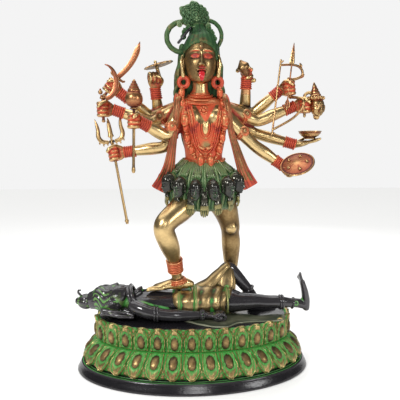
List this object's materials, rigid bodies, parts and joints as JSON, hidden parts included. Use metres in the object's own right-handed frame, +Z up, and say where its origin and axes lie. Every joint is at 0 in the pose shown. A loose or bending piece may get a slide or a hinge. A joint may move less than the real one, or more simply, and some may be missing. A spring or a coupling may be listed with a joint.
{
  "type": "kali figure",
  "caption": "Multi-armed standing goddess in painted cast brass, holding weapons and a severed head, one foot on a lying figure, on an oval double-lotus base.",
  "frame": {"origin": "centre of the base's underside", "axes": "+Z up, the figure's front faces -Y, the lying figure's head is to -X"},
  "size_m": [0.6259, 0.356, 0.9143],
  "materials": {
    "gold_brass": "rubbed gold over dark brown patina",
    "red_patina": "orange-red wash in the recesses, rubbed gold on the highs",
    "green_patina": "bright green in the recesses, olive gold on the petals",
    "black_patina": "glossy black with green in the recesses"
  },
  "bodies": {
    "root": {"lotus_base": "green_patina", "recumbent_figure": "black_patina", "kali_figure": "gold_brass", "chakra": "red_patina", "sword": "red_patina", "sickle": "red_patina", "mace": "red_patina", "trident": "gold_brass", "conch": "red_patina", "bow": "red_patina", "arrow": "red_patina", "severed_head": "red_patina", "bowl": "red_patina", "shield": "red_patina"}
  },
  "joints": []
}
